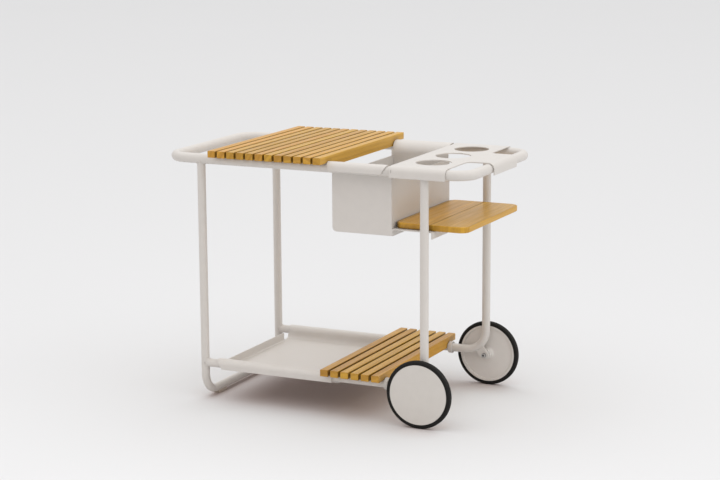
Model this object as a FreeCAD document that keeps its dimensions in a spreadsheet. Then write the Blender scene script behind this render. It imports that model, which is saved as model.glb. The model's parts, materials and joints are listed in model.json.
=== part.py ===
"""Cheese trolley: a tube frame on a sled foot and two wheels, with slatted decks, a tray,
a hanging bin, a glass holder and a cutting board.

Millimetres. +X runs from the sled foot to the wheels, +Y to the far side, +Z up.
The origin is on the floor, under the middle of the whole trolley.
"""
import FreeCAD, Part
import math
import os
import Sketcher

DRIVING_SIZES = (
    # The bent ring that every accessory hangs on, by its centre line
    ("ring_left", -485.5),
    ("ring_right", 480.5),
    ("rail_offset", 237.0),
    ("ring_height", 737.0),
    ("ring_size", 30.0),
    ("ring_corner", 56.0),
    # Legs and lower rails, by their centre lines
    ("leg_size", 25.0),
    ("leg_left", -376.5),
    ("leg_right", 347.5),
    ("rail_height", 113.0),
    ("rail_bend", 65.0),
    ("floor_bar_height", 18.5),
    ("sled_bend", 62.0),
    ("collar_size", 36.0),
    ("collar_width", 11.0),
    ("collar_gap", 1.7),
    ("glide_length", 45.0),
    ("glide_width", 18.0),
    ("glide_centre", 150.0),
    ("glide_depth", 12.5),
    ("glide_edge", 2.0),
    # Wheels, measured outwards from the trolley's middle plane
    ("wheel_size", 200.0),
    ("axle_place", 343.5),
    ("tyre_band", 11.5),
    ("wheel_inner", 257.0),
    ("wheel_outer", 275.4),
    ("tyre_crown", 6.0),
    ("tyre_set_back", 0.4),
    ("cover_gauge", 2.4),
    ("cover_gap", 0.2),
    ("snap_gauge", 2.3),
    ("snap_reach", 4.0),
    ("rim_depth", 6.5),
    ("rim_set_back", 0.6),
    ("web_gauge", 4.0),
    ("web_inner", 262.0),
    ("hub_inner", 245.5),
    ("hub_outer", 263.5),
    ("hub_size", 30.0),
    ("hub_recess", 2.0),
    ("hub_round", 8.0),
    ("disc_round", 2.0),
    ("bush_size", 14.0),
    ("bush_flange", 22.0),
    ("bush_gauge", 1.5),
    ("bush_length", 8.0),
    ("running_gap", 0.3),
    ("running_fit", 0.05),
    ("bolt_size", 8.0),
    ("bolt_head", 14.0),
    ("bolt_head_depth", 8.0),
    ("bolt_head_round", 0.8),
    ("bolt_end_gap", 0.7),
    ("bolt_socket", 6.0),
    ("nut_across", 13.0),
    ("nut_depth", 5.2),
    ("spacer_size", 18.0),
    ("washer_gauge", 1.2),
    ("bracket_inner", 231.0),
    ("bracket_gauge", 6.0),
    ("bracket_width", 28.0),
    # Slatted decks
    ("slat_width", 24.0),
    ("slat_depth", 20.0),
    ("slat_edge", 2.0),
    ("deep_slat_depth", 33.0),
    ("deep_slat_reach", 219.6),
    ("top_notch_corner", 12.0),
    ("low_notch_corner", 8.0),
    ("notch_reach", 17.5),
    ("seat_gap", 0.15),
    ("top_surface", 770.4),
    ("top_reach", 291.0),
    ("top_first", -323.6),
    ("top_pitch", 31.4),
    ("low_surface", 145.6),
    ("low_reach", 285.0),
    ("low_first", 36.2),
    ("low_pitch", 32.9),
    ("batten_width", 40.0),
    ("batten_offset", 165.0),
    ("top_batten_depth", 13.0),
    ("low_batten_depth", 9.6),
    ("screw_size", 4.0),
    ("screw_head", 8.0),
    ("screw_bite", 11.0),
    # Sheet metal: bin, glass holder and tray
    ("sheet_gauge", 3.0),
    ("hook_gap", 2.0),
    ("wall_gap", 0.3),
    ("cut_margin", 1.0),
    ("bin_left", 49.4),
    ("bin_right", 238.8),
    ("bin_bottom", 547.0),
    ("bin_wall_top", 711.0),
    ("bin_far", 198.0),
    ("bin_far_bend", 32.0),
    ("bin_corner", 13.0),
    ("bin_hook_bottom", 729.0),
    ("hook_slant_left", 5.0),
    ("hook_slant_right", 16.0),
    ("bin_hook_left", 46.4),
    ("bin_hook_right", 235.4),
    ("shelf_right", 365.4),
    ("shelf_top", 568.0),
    ("rivet_size", 5.0),
    ("rivet_head", 9.0),
    ("rivet_head_depth", 1.5),
    ("rivet_height", 556.0),
    ("rivet_first", -165.0),
    ("rivet_pitch", 110.0),
    ("holder_left", 245.4),
    ("holder_right", 418.4),
    ("holder_hook_left", 252.4),
    ("holder_bottom", 722.0),
    ("holder_tab", 88.0),
    ("holder_tab_bottom", 720.0),
    ("holder_tab_corner", 18.0),
    ("glass_hole", 104.5),
    ("glass_place", 335.4),
    ("glass_pitch", 142.6),
    ("tray_left", -330.6),
    ("tray_right", 57.4),
    ("tray_floor", 90.0),
    ("tray_wall", 217.0),
    ("tray_bend", 15.0),
    ("tray_hook_bottom", 100.0),
    ("tray_hook_slant", 19.0),
    ("tray_end_top", 114.0),
    ("tray_end_reach", 182.0),
    ("lip_round", 6.0),
    ("lip_foot", 12.0),
    # Cutting board
    ("board_left", 239.9),
    ("board_seam", 352.4),
    ("board_right", 465.4),
    ("board_reach", 209.0),
    ("board_depth", 17.5),
    ("board_corner", 28.0),
    ("board_edge", 2.0),
    ("seam_gap", 0.4),
    ("tongue_width", 12.0),
    ("tongue_depth", 5.0),
    ("tongue_reach", 188.0),
)
TOP_SLATS = 12
LOW_SLATS = 6
RIVETS = 4
SIDES = (("near", -1), ("far", 1))
# Lengths that differ by less than this are equal
SAME = 0.01

doc = FreeCAD.newDocument("cheese_trolley")
sizes = doc.addObject("Spreadsheet::Sheet", "Dim")
for row, (alias, number) in enumerate(DRIVING_SIZES, start=1):
    sizes.set("A%d" % row, alias)
    sizes.set("B%d" % row, str(number))
    sizes.setAlias("B%d" % row, alias)
doc.recompute()

sub_parts = []


def size(expression):
    """The value of an expression over the driving sizes."""
    return float(sizes.evalExpression(expression.replace("Dim.", "")))


def new_body(label):
    """An empty sub-part."""
    body = doc.addObject("PartDesign::Body", label)
    body.Label = label
    body.AllowCompound = True
    sub_parts.append(body)
    return body


def new_sketch(body, name, role, lift="0"):
    """A sketch on one of the body's own planes, moved along the plane's normal."""
    sketch = body.newObject("Sketcher::SketchObject", name)
    plane = next(item for item in body.Origin.OriginFeatures if item.Role == role)
    sketch.AttachmentSupport = (plane, [""])
    sketch.MapMode = "FlatFace"
    sketch.setExpression("AttachmentOffset.Base.z", lift)
    return sketch


def pin_point(sketch, geometry, position, corner):
    """Hold one point of the sketch at a place given by two expressions."""
    for kind, expression in (("DistanceX", corner[0]), ("DistanceY", corner[1])):
        index = sketch.addConstraint(
            Sketcher.Constraint(kind, -1, 1, geometry, position, size(expression)))
        sketch.setExpression("Constraints[%d]" % index, expression)


def trace(sketch, corners, closed=True):
    """Lines through the corners; a corner with a third expression is rounded to that radius."""
    places = [FreeCAD.Vector(size(c[0]), size(c[1]), 0) for c in corners]
    radii = [size(c[2]) if len(c) > 2 else 0.0 for c in corners]
    count = len(corners)
    starts = list(places)
    ends = list(places)
    for i in range(count):
        if radii[i]:
            before = (places[i - 1] - places[i]).normalize()
            after = (places[(i + 1) % count] - places[i]).normalize()
            reach = radii[i] / math.tan(before.getAngle(after) / 2)
            ends[i] = places[i] + before * reach
            starts[i] = places[i] + after * reach
    line_count = count if closed else count - 1
    lines = []
    for i in range(line_count):
        segment = Part.LineSegment(starts[i], ends[(i + 1) % count])
        lines.append(sketch.addGeometry(segment, False))
    for i in range(count):
        before_line = lines[i - 1] if closed or i > 0 else None
        after_line = lines[i] if i < line_count else None
        if not radii[i]:
            if before_line is not None and after_line is not None:
                sketch.addConstraint(
                    Sketcher.Constraint("Coincident", before_line, 2, after_line, 1))
            if after_line is not None:
                pin_point(sketch, after_line, 1, corners[i])
            else:
                pin_point(sketch, before_line, 2, corners[i])
            continue
        before = (places[i - 1] - places[i]).normalize()
        after = (places[(i + 1) % count] - places[i]).normalize()
        bisector = (before + after).normalize()
        half_angle = before.getAngle(after) / 2
        centre = places[i] + bisector * (radii[i] / math.sin(half_angle))
        middle = centre - bisector * radii[i]
        arc = sketch.addGeometry(Part.Arc(ends[i], middle, starts[i]), False)
        left_turn = before.cross(after).z < 0
        first, last = (1, 2) if left_turn else (2, 1)
        sketch.addConstraint(Sketcher.Constraint("Tangent", before_line, 2, arc, first))
        sketch.addConstraint(Sketcher.Constraint("Tangent", arc, last, after_line, 1))
        index = sketch.addConstraint(Sketcher.Constraint("Radius", arc, radii[i]))
        sketch.setExpression("Constraints[%d]" % index, corners[i][2])
        knot = sketch.addGeometry(Part.Point(places[i]), True)
        sketch.addConstraint(Sketcher.Constraint("PointOnObject", knot, 1, before_line))
        sketch.addConstraint(Sketcher.Constraint("PointOnObject", knot, 1, after_line))
        pin_point(sketch, knot, 1, corners[i])
    return sketch


def circle(sketch, centre, radius):
    """A circle held by its centre and radius expressions."""
    middle = FreeCAD.Vector(size(centre[0]), size(centre[1]), 0)
    ring = sketch.addGeometry(Part.Circle(middle, FreeCAD.Vector(0, 0, 1), size(radius)), False)
    pin_point(sketch, ring, 3, centre)
    index = sketch.addConstraint(Sketcher.Constraint("Radius", ring, size(radius)))
    sketch.setExpression("Constraints[%d]" % index, radius)
    return sketch


def pad(body, sketch, length, name="Pad"):
    """Sheet or bar pushed out of the sketch along its normal."""
    feature = body.newObject("PartDesign::Pad", name)
    feature.Profile = sketch
    feature.setExpression("Length", length)
    sketch.Visibility = False
    doc.recompute()
    return feature


def pocket(body, sketch, name="Pocket", depth=None, forwards=False):
    """A cut against the sketch's normal, or along it, as deep as stated or right through."""
    before = body.Shape.Volume
    feature = body.newObject("PartDesign::Pocket", name)
    feature.Profile = sketch
    feature.Reversed = forwards
    if depth is None:
        feature.Type = "ThroughAll"
    else:
        feature.setExpression("Length", depth)
    sketch.Visibility = False
    doc.recompute()
    if not body.Shape.Volume < before:
        raise RuntimeError("%s cuts nothing in %s" % (name, body.Label))
    return feature


def revolve(body, sketch, name="Turned", axis="H_Axis"):
    """A full turn about one of the sketch's axes."""
    feature = body.newObject("PartDesign::Revolution", name)
    feature.Profile = sketch
    feature.ReferenceAxis = (sketch, [axis])
    feature.Angle = 360
    doc.recompute()
    return feature


def pipe(body, profile, path, name="Tube"):
    """A round tube along a path."""
    feature = body.newObject("PartDesign::AdditivePipe", name)
    feature.Profile = profile
    edges = ["Edge%d" % (i + 1) for i in range(len(path.Shape.Edges))]
    feature.Spine = (path, edges)
    doc.recompute()
    return feature


def round_edges(body, feature, chosen, radius, name="Rounded"):
    """Round the edges of the last feature for which chosen(its box) is true."""
    names = ["Edge%d" % (i + 1) for i, edge in enumerate(feature.Shape.Edges)
             if chosen(edge.BoundBox)]
    if not names:
        raise RuntimeError("no edge to round in " + body.Label)
    fillet = body.newObject("PartDesign::Fillet", name)
    fillet.Base = (feature, names)
    fillet.setExpression("Radius", radius)
    doc.recompute()
    return fillet


def near_to(value, expression):
    """True where a length equals a driving size."""
    return abs(value - size(expression)) < SAME


def mirror(body, features, role, name="OtherHalf"):
    """The features and their mirror image in one of the body's own planes."""
    plane = next(item for item in body.Origin.OriginFeatures if item.Role == role)
    feature = body.newObject("PartDesign::Mirrored", name)
    feature.Originals = features
    feature.MirrorPlane = (plane, [""])
    body.Tip = feature
    doc.recompute()
    return feature


def repeat(body, feature, axis_role, length, count, name="Repeated"):
    """The feature repeated in a row along one of the body's own axes."""
    axis = next(item for item in body.Origin.OriginFeatures if item.Role == axis_role)
    pattern = body.newObject("PartDesign::LinearPattern", name)
    pattern.Originals = [feature]
    pattern.Direction = (axis, [""])
    pattern.setExpression("Length", length)
    pattern.Occurrences = count
    body.Tip = pattern
    doc.recompute()
    return pattern


def place(body, along="0", across="0", up="0"):
    """Put the body at a place given by three expressions."""
    body.setExpression("Placement.Base.x", along)
    body.setExpression("Placement.Base.y", across)
    body.setExpression("Placement.Base.z", up)


def place_on_axle(body, side):
    """Put a part drawn for the far side on its own side's axle line."""
    turn = 0 if side > 0 else 180
    body.Placement = FreeCAD.Placement(
        FreeCAD.Vector(0, 0, 0), FreeCAD.Rotation(FreeCAD.Vector(0, 0, 1), turn))
    place(body, "Dim.axle_place", "0", "Dim.wheel_size / 2")


def hexagon(sketch, across):
    """A hexagon about the sketch's origin, by its width across flats."""
    corner = across + " / sqrt(3)"
    trace(sketch, [("%s * cos(%d deg)" % (corner, turn), "%s * sin(%d deg)" % (corner, turn))
                   for turn in range(0, 360, 60)])
    return sketch


# ---------------------------------------------------------------- frame

def top_ring():
    """The rounded ring: half of it bent along a path, the other half its mirror image."""
    body = new_body("top_ring")
    half = "(Dim.ring_right - Dim.ring_left) / 2"
    path = trace(new_sketch(body, "Path", "XY_Plane"), (
        ("0", "-Dim.rail_offset"),
        ("-" + half, "-Dim.rail_offset", "Dim.ring_corner"),
        ("-" + half, "Dim.rail_offset", "Dim.ring_corner"),
        ("0", "Dim.rail_offset"),
    ), closed=False)
    section = circle(new_sketch(body, "Section", "YZ_Plane"),
                     ("-Dim.rail_offset", "0"), "Dim.ring_size / 2")
    doc.recompute()
    mirror(body, [pipe(body, section, path)], "YZ_Plane")
    place(body, "(Dim.ring_left + Dim.ring_right) / 2", "0", "Dim.ring_height")


def left_sled_frame():
    """Two legs and the bar on the floor in one U, coped under the ring."""
    body = new_body("left_sled_frame")
    path = trace(new_sketch(body, "Path", "YZ_Plane"), (
        ("-Dim.rail_offset", "Dim.ring_height"),
        ("-Dim.rail_offset", "Dim.floor_bar_height", "Dim.sled_bend"),
        ("Dim.rail_offset", "Dim.floor_bar_height", "Dim.sled_bend"),
        ("Dim.rail_offset", "Dim.ring_height"),
    ), closed=False)
    section = circle(new_sketch(body, "Section", "XY_Plane", "Dim.ring_height"),
                     ("0", "-Dim.rail_offset"), "Dim.leg_size / 2")
    doc.recompute()
    pipe(body, section, path)
    cope = new_sketch(body, "Cope", "YZ_Plane", "Dim.leg_size")
    circle(cope, ("-Dim.rail_offset", "Dim.ring_height"), "Dim.ring_size / 2")
    circle(cope, ("Dim.rail_offset", "Dim.ring_height"), "Dim.ring_size / 2")
    pocket(body, cope, "CopedTops")
    place(body, "Dim.leg_left")


def right_leg(side_name, side):
    """A leg that bends into the lower rail, coped to the ring and to the left leg."""
    body = new_body("right_leg_" + side_name)
    path = trace(new_sketch(body, "Path", "XZ_Plane"), (
        ("Dim.leg_right", "Dim.ring_height"),
        ("Dim.leg_right", "Dim.rail_height", "Dim.rail_bend"),
        ("Dim.leg_left", "Dim.rail_height"),
    ), closed=False)
    section = circle(new_sketch(body, "Section", "XY_Plane", "Dim.ring_height"),
                     ("Dim.leg_right", "0"), "Dim.leg_size / 2")
    doc.recompute()
    pipe(body, section, path)
    top_cope = circle(new_sketch(body, "TopCope", "YZ_Plane", "Dim.leg_right + Dim.leg_size"),
                      ("0", "Dim.ring_height"), "Dim.ring_size / 2")
    pocket(body, top_cope, "CopedTop")
    end_cope = circle(new_sketch(body, "EndCope", "XY_Plane", "Dim.rail_height + Dim.leg_size"),
                      ("Dim.leg_left", "0"), "Dim.leg_size / 2")
    pocket(body, end_cope, "CopedEnd")
    place(body, "0", "%d * Dim.rail_offset" % side)


def rail_collars():
    """Stop rings round both lower rails, right of the lower deck."""
    body = new_body("rail_collars")
    rings = new_sketch(body, "Rings", "YZ_Plane")
    for side in ("-", ""):
        circle(rings, (side + "Dim.rail_offset", "Dim.rail_height"), "Dim.collar_size / 2")
        circle(rings, (side + "Dim.rail_offset", "Dim.rail_height"), "Dim.leg_size / 2")
    pad(body, rings, "Dim.collar_width")
    place(body, "Dim.low_first + %d * Dim.low_pitch + Dim.slat_width + Dim.collar_gap" % (LOW_SLATS - 1))


def floor_glides():
    """Two pads saddled to the underside of the floor bar."""
    body = new_body("floor_glides")
    half = "Dim.glide_width / 2"
    block = trace(new_sketch(body, "Block", "XZ_Plane", "Dim.glide_centre - Dim.glide_length / 2"), (
        ("-" + half, "0", "Dim.glide_edge"),
        (half, "0", "Dim.glide_edge"),
        (half, "Dim.glide_depth"),
        ("-" + half, "Dim.glide_depth"),
    ))
    mirror(body, [pad(body, block, "Dim.glide_length")], "XZ_Plane")
    saddle = circle(new_sketch(body, "Saddle", "XZ_Plane", "Dim.rail_offset"),
                    ("0", "Dim.floor_bar_height"), "Dim.leg_size / 2")
    pocket(body, saddle, "SaddleCut")
    place(body, "Dim.leg_left")


def wheel_bracket(side_name, side):
    """A round-ended ear between the bend of a leg and its wheel's axle bolt."""
    body = new_body("wheel_bracket_" + side_name)
    bend_centre = ("Dim.leg_right - Dim.rail_bend", "Dim.rail_height + Dim.rail_bend")
    axle = ("Dim.axle_place", "Dim.wheel_size / 2")
    along = size(bend_centre[0]) - size(axle[0])
    up = size(bend_centre[1]) - size(axle[1])
    half = "Dim.bracket_width / 2"
    strip = new_sketch(body, "Strip", "XZ_Plane")
    trace(strip, (("-" + half, "0"), (half, "0"), (half, "Dim.rail_bend"), ("-" + half, "Dim.rail_bend")))
    strip.AttachmentOffset = FreeCAD.Placement(
        FreeCAD.Vector(size(axle[0]), size(axle[1]), 0),
        FreeCAD.Rotation(FreeCAD.Vector(0, 0, 1), -math.degrees(math.atan2(along, up))))
    pad(body, strip, "Dim.bracket_gauge", "Strip")
    end = circle(new_sketch(body, "End", "XZ_Plane"), axle, half)
    pad(body, end, "Dim.bracket_gauge", "RoundEnd")
    bend = circle(new_sketch(body, "Bend", "XZ_Plane", "Dim.bracket_gauge"), bend_centre,
                  "Dim.rail_bend + Dim.leg_size / 2")
    pocket(body, bend, "BendCut")
    bore = circle(new_sketch(body, "Bore", "XZ_Plane", "Dim.bracket_gauge"), axle, "Dim.bolt_size / 2")
    pocket(body, bore, "BoltHole")
    place(body, "0", "Dim.bracket_inner + Dim.bracket_gauge" if side > 0 else "-Dim.bracket_inner")


# ---------------------------------------------------------------- wheels

RIM = "Dim.wheel_size / 2 - Dim.tyre_band"
BRACKET_FACE = "Dim.bracket_inner + Dim.bracket_gauge"
COVER_INNER = "Dim.wheel_outer - Dim.cover_gauge"
WASHER_INNER = "Dim.hub_outer + Dim.bush_gauge + Dim.running_gap"
NUT_INNER = WASHER_INNER + " + Dim.washer_gauge"


def turned(label, side, *outlines):
    """A part turned about the axle, drawn as (distance outwards, radius) corners."""
    body = new_body(label)
    sketch = new_sketch(body, "Outline", "YZ_Plane")
    for outline in outlines:
        trace(sketch, outline)
    revolve(body, sketch)
    place_on_axle(body, side)
    return body


def tyre(side_name, side):
    """The rubber band on the rim."""
    crown = "Dim.wheel_size / 2"
    outer = "Dim.wheel_outer - Dim.tyre_set_back"
    turned("tyre_" + side_name, side, (
        ("Dim.wheel_inner", RIM),
        ("Dim.wheel_inner", crown, "Dim.tyre_crown"),
        (outer, crown, "Dim.tyre_crown"),
        (outer, RIM),
    ))


def wheel_disc(side_name, side):
    """The dished disc: hub, thin web and rim in one casting."""
    bore = "Dim.bush_size / 2"
    hub = "Dim.hub_size / 2"
    recess = "Dim.hub_size / 2 - Dim.hub_recess"
    rim_inner = RIM + " - Dim.rim_depth"
    rim_face = "Dim.wheel_inner + Dim.rim_set_back"
    web_outer = "Dim.web_inner + Dim.web_gauge"
    turned("wheel_disc_" + side_name, side, (
        ("Dim.hub_inner", bore),
        ("Dim.hub_inner", hub, "Dim.disc_round"),
        ("Dim.web_inner", hub, "Dim.hub_round"),
        ("Dim.web_inner", rim_inner, "Dim.disc_round"),
        (rim_face, rim_inner, "Dim.disc_round / 2"),
        (rim_face, RIM),
        (COVER_INNER, RIM),
        (COVER_INNER, rim_inner),
        (web_outer, rim_inner, "Dim.disc_round"),
        (web_outer, recess),
        ("Dim.hub_outer", recess),
        ("Dim.hub_outer", bore),
    ))


def wheel_cover(side_name, side):
    """The plain outer disc with the ring that snaps inside the rim."""
    snap_outer = RIM + " - Dim.rim_depth - Dim.cover_gap"
    snap_inner = snap_outer + " - Dim.snap_gauge"
    snap_reach = COVER_INNER + " - Dim.snap_reach"
    edge = RIM + " - Dim.cover_gap"
    turned("wheel_cover_" + side_name, side, (
        (COVER_INNER, "0"),
        (COVER_INNER, snap_inner),
        (snap_reach, snap_inner),
        (snap_reach, snap_outer),
        (COVER_INNER, snap_outer),
        (COVER_INNER, edge),
        ("Dim.wheel_outer", edge, "Dim.cover_gauge / 2"),
        ("Dim.wheel_outer", "0"),
    ))


def wheel_bushes(side_name, side):
    """Two flanged bushes pressed into the hub, one from each end."""
    bore = "Dim.bolt_size / 2 + Dim.running_fit"
    sleeve = "Dim.bush_size / 2"
    flange = "Dim.bush_flange / 2"
    outlines = []
    for face, sign in (("Dim.hub_inner", "+"), ("Dim.hub_outer", "-")):
        back = "-" if sign == "+" else "+"
        outlines.append((
            ("%s %s Dim.bush_gauge" % (face, back), bore),
            ("%s %s Dim.bush_gauge" % (face, back), flange),
            (face, flange),
            (face, sleeve),
            ("%s %s Dim.bush_length" % (face, sign), sleeve),
            ("%s %s Dim.bush_length" % (face, sign), bore),
        ))
    turned("wheel_bushes_" + side_name, side, *outlines)


def axle_spacer(side_name, side):
    """The tube that keeps the wheel off its bracket."""
    end = "Dim.hub_inner - Dim.bush_gauge - Dim.running_gap"
    turned("axle_spacer_" + side_name, side, (
        (BRACKET_FACE, "Dim.bolt_size / 2"),
        (BRACKET_FACE, "Dim.spacer_size / 2"),
        (end, "Dim.spacer_size / 2"),
        (end, "Dim.bolt_size / 2"),
    ))


def axle_washer(side_name, side):
    """The washer under the axle nut."""
    turned("axle_washer_" + side_name, side, (
        (WASHER_INNER, "Dim.bolt_size / 2"),
        (WASHER_INNER, "Dim.bolt_size"),
        (NUT_INNER, "Dim.bolt_size"),
        (NUT_INNER, "Dim.bolt_size / 2"),
    ))


def axle_bolt(side_name, side):
    """A socket-head bolt through the bracket, from the trolley's inner side."""
    head_face = "Dim.bracket_inner - Dim.bolt_head_depth"
    end_face = COVER_INNER + " - Dim.bolt_end_gap"
    body = turned("axle_bolt_" + side_name, side, (
        (head_face, "0"),
        (head_face, "Dim.bolt_head / 2", "Dim.bolt_head_round"),
        ("Dim.bracket_inner", "Dim.bolt_head / 2"),
        ("Dim.bracket_inner", "Dim.bolt_size / 2"),
        (end_face, "Dim.bolt_size / 2"),
        (end_face, "0"),
    ))
    socket = new_sketch(body, "Socket", "XZ_Plane", "-(%s)" % head_face)
    pocket(body, hexagon(socket, "Dim.bolt_socket"), "SocketCut", "Dim.bolt_head_depth / 2")


def axle_nut(side_name, side):
    """The thin hexagon nut on the end of the bolt, behind the cover."""
    body = new_body("axle_nut_" + side_name)
    outline = new_sketch(body, "Outline", "XZ_Plane", "-(%s + Dim.nut_depth)" % NUT_INNER)
    hexagon(outline, "Dim.nut_across")
    circle(outline, ("0", "0"), "Dim.bolt_size / 2")
    pad(body, outline, "Dim.nut_depth")
    place_on_axle(body, side)


# ---------------------------------------------------------------- slatted decks

def slat(label, surface, reach, seat, notch, deep, left):
    """One slat, notched over the rails at seat height; a deep one hangs between them."""
    body = new_body(label)
    underside = surface + " - Dim.slat_depth"
    inner, outer = notch
    half = [(reach, surface), (reach, underside), (outer, underside), (outer, seat)]
    if deep:
        half += [("Dim.deep_slat_reach", seat, deep),
                 ("Dim.deep_slat_reach", surface + " - Dim.deep_slat_depth")]
    else:
        half += [(inner, seat), (inner, underside)]
    half = [corner for i, corner in enumerate(half)
            if i == 0 or abs(size(corner[0]) - size(half[i - 1][0])) > SAME
            or abs(size(corner[1]) - size(half[i - 1][1])) > SAME]
    other = [("-(%s)" % corner[0],) + tuple(corner[1:]) for corner in reversed(half)]
    profile = trace(new_sketch(body, "Profile", "YZ_Plane"), half + other)
    bar = pad(body, profile, "Dim.slat_width")
    round_edges(body, bar, lambda box: near_to(box.ZMin, surface) and box.YLength > SAME,
                "Dim.slat_edge", "TopEdges")
    place(body, left)


def batten(label, left, right, across, top, depth, screws):
    """A cross batten under the slats, drilled for one screw in each slat between its ends."""
    body = new_body(label)
    half = "Dim.batten_width / 2"
    outline = trace(new_sketch(body, "Outline", "XY_Plane"),
                    ((left, "-" + half), (right, "-" + half), (right, half), (left, half)))
    pad(body, outline, depth)
    first, pitch, count = screws
    holes = new_sketch(body, "Holes", "XY_Plane", depth)
    for i in range(count):
        circle(holes, ("%s + %d * %s" % (first, i, pitch), "0"), "Dim.screw_size / 2")
    pocket(body, holes, "ScrewHoles")
    place(body, "0", across, "%s - %s" % (top, depth))


def deck_screws(label, top, depth, screws):
    """The pan-head screws that come up through both battens into the slats."""
    body = new_body(label)
    first, pitch, count = screws
    heads = new_sketch(body, "Heads", "XY_Plane", "-Dim.screw_size / 2")
    shanks = new_sketch(body, "Shanks", "XY_Plane")
    for across in ("-Dim.batten_offset", "Dim.batten_offset"):
        for i in range(count):
            centre = ("%s + %d * %s" % (first, i, pitch), across)
            circle(heads, centre, "Dim.screw_head / 2")
            circle(shanks, centre, "Dim.screw_size / 2")
    pad(body, heads, "Dim.screw_size / 2", "HeadPads")
    pad(body, shanks, depth + " + Dim.screw_bite", "ShankPads")
    place(body, "0", "0", "%s - %s" % (top, depth))


def top_deck():
    """Twelve slats over the ring, the first and last one deeper, on two hidden battens."""
    seat = "Dim.ring_height + Dim.ring_size / 2 + Dim.seat_gap"
    notch = ("Dim.rail_offset - Dim.notch_reach", "Dim.rail_offset + Dim.notch_reach")
    for i in range(TOP_SLATS):
        outermost = i in (0, TOP_SLATS - 1)
        slat("top_slat_%02d" % (i + 1), "Dim.top_surface", "Dim.top_reach", seat, notch,
             "Dim.top_notch_corner" if outermost else None,
             "Dim.top_first + %d * Dim.top_pitch" % i)
    underside = "Dim.top_surface - Dim.slat_depth"
    left = "Dim.top_first + Dim.slat_width"
    right = "Dim.top_first + %d * Dim.top_pitch" % (TOP_SLATS - 1)
    screws = ("Dim.top_first + Dim.top_pitch + Dim.slat_width / 2", "Dim.top_pitch", TOP_SLATS - 2)
    for side_name, side in SIDES:
        batten("top_batten_" + side_name, left, right, "%d * Dim.batten_offset" % side,
               underside, "Dim.top_batten_depth", screws)
    deck_screws("top_deck_screws", underside, "Dim.top_batten_depth", screws)


def low_deck():
    """Six slats over the lower rails, the first notched over the tray, the last one deeper."""
    underside = "Dim.low_surface - Dim.slat_depth"
    rail_notch = ("Dim.rail_offset - Dim.notch_reach", "Dim.rail_offset + Dim.notch_reach")
    tray_notch = ("Dim.tray_wall - Dim.hook_gap",
                  "Dim.rail_offset + Dim.leg_size / 2 + Dim.sheet_gauge + 2 * Dim.hook_gap")
    tray_seat = "Dim.rail_height + Dim.leg_size / 2 + Dim.sheet_gauge + 2 * Dim.seat_gap"
    for i in range(LOW_SLATS):
        over_tray = i == 0
        slat("deck_slat_%d" % (i + 1), "Dim.low_surface", "Dim.low_reach",
             tray_seat if over_tray else underside,
             tray_notch if over_tray else rail_notch,
             "Dim.low_notch_corner" if i == LOW_SLATS - 1 else None,
             "Dim.low_first + %d * Dim.low_pitch" % i)
    right = "Dim.low_first + %d * Dim.low_pitch" % (LOW_SLATS - 1)
    screws = ("Dim.low_first + Dim.slat_width / 2", "Dim.low_pitch", LOW_SLATS - 1)
    for side_name, side in SIDES:
        batten("deck_batten_" + side_name, "Dim.low_first + Dim.hook_gap", right,
               "%d * Dim.batten_offset" % side, underside, "Dim.low_batten_depth", screws)
    deck_screws("deck_screws", underside, "Dim.low_batten_depth", screws)


# ---------------------------------------------------------------- sheet metal

RING_SEAT = "Dim.ring_height + Dim.ring_size / 2 + Dim.seat_gap"
RING_SHEET = RING_SEAT + " + Dim.sheet_gauge"
HOOK_INNER = "Dim.rail_offset + Dim.ring_size / 2 + Dim.hook_gap"
HOOK_OUTER = HOOK_INNER + " + Dim.sheet_gauge"
WALL_OUTER = "Dim.rail_offset - Dim.ring_size / 2 - Dim.wall_gap"
WALL_INNER = WALL_OUTER + " - Dim.sheet_gauge"
INNER_BEND = "Dim.ring_size / 2"
OUTER_BEND = "Dim.ring_size / 2 + Dim.sheet_gauge"


def slanted_ends(body, bottom, top, ends):
    """Cut the hook ends on a slant: each end is its place at the top and at the bottom."""
    for name, (at_top, at_bottom) in ends.items():
        outside = at_top + (" - Dim.cut_margin" if name == "Left" else " + Dim.cut_margin")
        cut = trace(new_sketch(body, name + "Slant", "XZ_Plane", "Dim.rail_offset + Dim.ring_size"), (
            (outside, top + " + Dim.cut_margin"),
            (at_top, top + " + Dim.cut_margin"),
            (at_top, top),
            (at_bottom, bottom),
            (at_bottom, bottom + " - Dim.cut_margin"),
            (outside, bottom + " - Dim.cut_margin"),
        ))
        pocket(body, cut, name + "SlantCut")


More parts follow.
